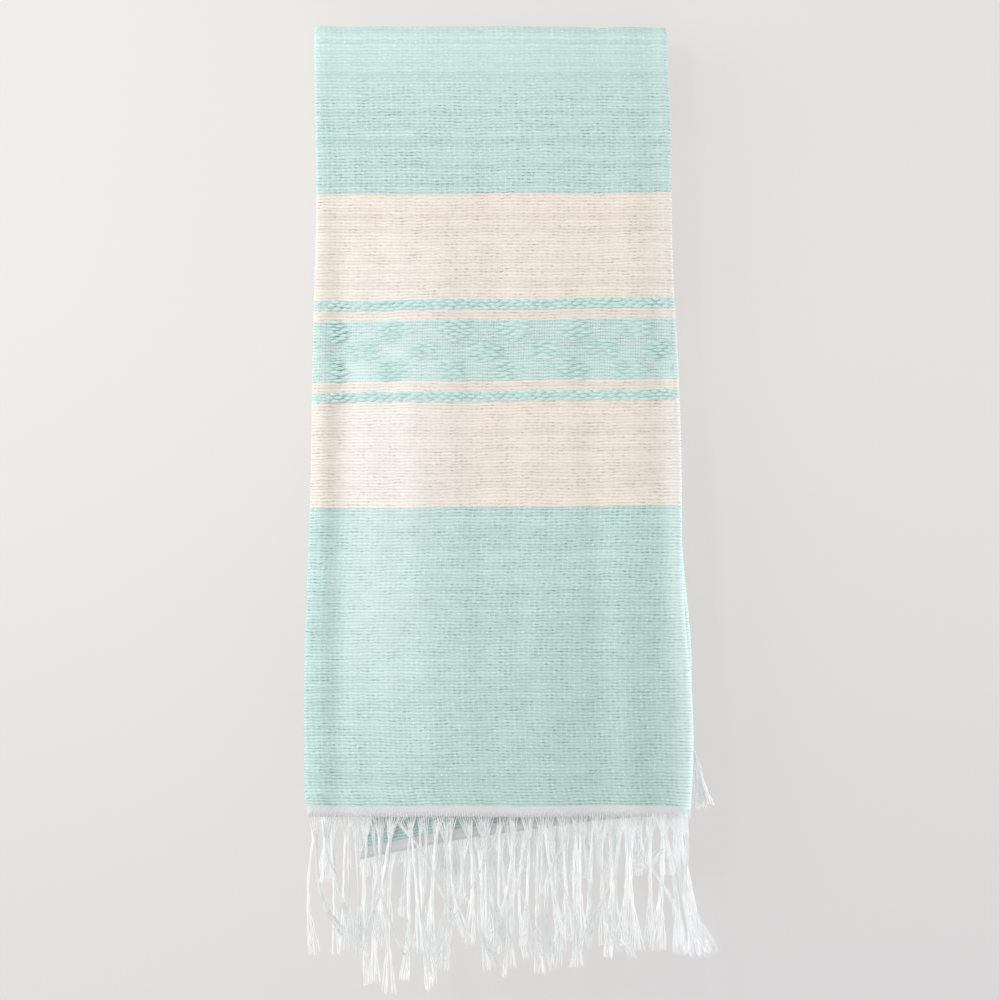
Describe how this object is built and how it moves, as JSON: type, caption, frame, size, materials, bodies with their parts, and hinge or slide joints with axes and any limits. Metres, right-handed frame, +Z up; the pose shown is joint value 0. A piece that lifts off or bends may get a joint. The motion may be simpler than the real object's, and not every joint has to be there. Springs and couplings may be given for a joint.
{
  "type": "fringed flat-woven towel",
  "caption": "Flat-woven towel with woven stripes and knotless fringe, folded in thirds and hung over a rail by its top fold.",
  "frame": {"origin": "middle of the inside of the top fold, where it sits on the top of a rail", "axes": "+Z up, +X to the right as the front leaf is seen, -Y out of the front leaf, rail along X"},
  "size_m": [0.2198, 0.044, 0.5299],
  "materials": {
    "mint_weft": "plain weave of mint weft over white warp, matt",
    "pattern_weft": "mint weft floats in lozenges over plain weave, soft sheen",
    "cream_weft": "plain weave of cream weft over white warp, matt",
    "white_warp": "loose white cotton warp ends"
  },
  "bodies": {
    "back_leaf": {"top_fold": "mint_weft", "back_end_field": "mint_weft", "back_fringe_panel_1": "white_warp", "back_fringe_panel_2": "white_warp", "back_fringe_panel_3": "white_warp", "back_fringe_panel_4": "white_warp", "back_fringe_panel_5": "white_warp", "back_fringe_panel_6": "white_warp", "back_fringe_panel_7": "white_warp", "back_fringe_panel_8": "white_warp", "back_fringe_tucked_1": "white_warp", "back_fringe_tucked_2": "white_warp", "back_fringe_tucked_3": "white_warp", "back_fringe_tucked_4": "white_warp", "back_fringe_wrap_1": "white_warp", "back_fringe_wrap_2": "white_warp", "back_fringe_wrap_3": "white_warp", "back_fringe_wrap_4": "white_warp", "back_header": "white_warp", "back_lower_cream_stripe": "cream_weft", "back_lower_spacer": "cream_weft", "back_lower_thin_stripe": "pattern_weft", "back_pattern_band": "pattern_weft", "back_top_field": "mint_weft", "back_upper_cream_stripe": "cream_weft", "back_upper_spacer": "cream_weft", "back_upper_thin_stripe": "pattern_weft"},
    "front_leaf": {"front_end_field": "mint_weft", "front_fringe_panel_1": "white_warp", "front_fringe_panel_10": "white_warp", "front_fringe_panel_2": "white_warp", "front_fringe_panel_3": "white_warp", "front_fringe_panel_4": "white_warp", "front_fringe_panel_5": "white_warp", "front_fringe_panel_6": "white_warp", "front_fringe_panel_7": "white_warp", "front_fringe_panel_8": "white_warp", "front_fringe_panel_9": "white_warp", "front_fringe_tucked_1": "white_warp", "front_fringe_tucked_2": "white_warp", "front_fringe_tucked_3": "white_warp", "front_fringe_tucked_4": "white_warp", "front_fringe_wrap_1": "white_warp", "front_fringe_wrap_2": "white_warp", "front_fringe_wrap_3": "white_warp", "front_fringe_wrap_4": "white_warp", "front_fringe_wrap_5": "white_warp", "front_fringe_wrap_6": "white_warp", "front_header": "white_warp", "front_lower_cream_stripe": "cream_weft", "front_lower_spacer": "cream_weft", "front_lower_thin_stripe": "pattern_weft", "front_pattern_band": "pattern_weft", "front_top_field": "mint_weft", "front_upper_cream_stripe": "cream_weft", "front_upper_spacer": "cream_weft", "front_upper_thin_stripe": "pattern_weft"}
  },
  "joints": [
    {"name": "front_leaf_lift", "type": "hinge", "parent": "back_leaf", "child": "front_leaf", "pos_m": [0, -0.01129, -0.0063], "axis": [-1, 0, 0], "range_deg": [0, 90]}
  ]
}
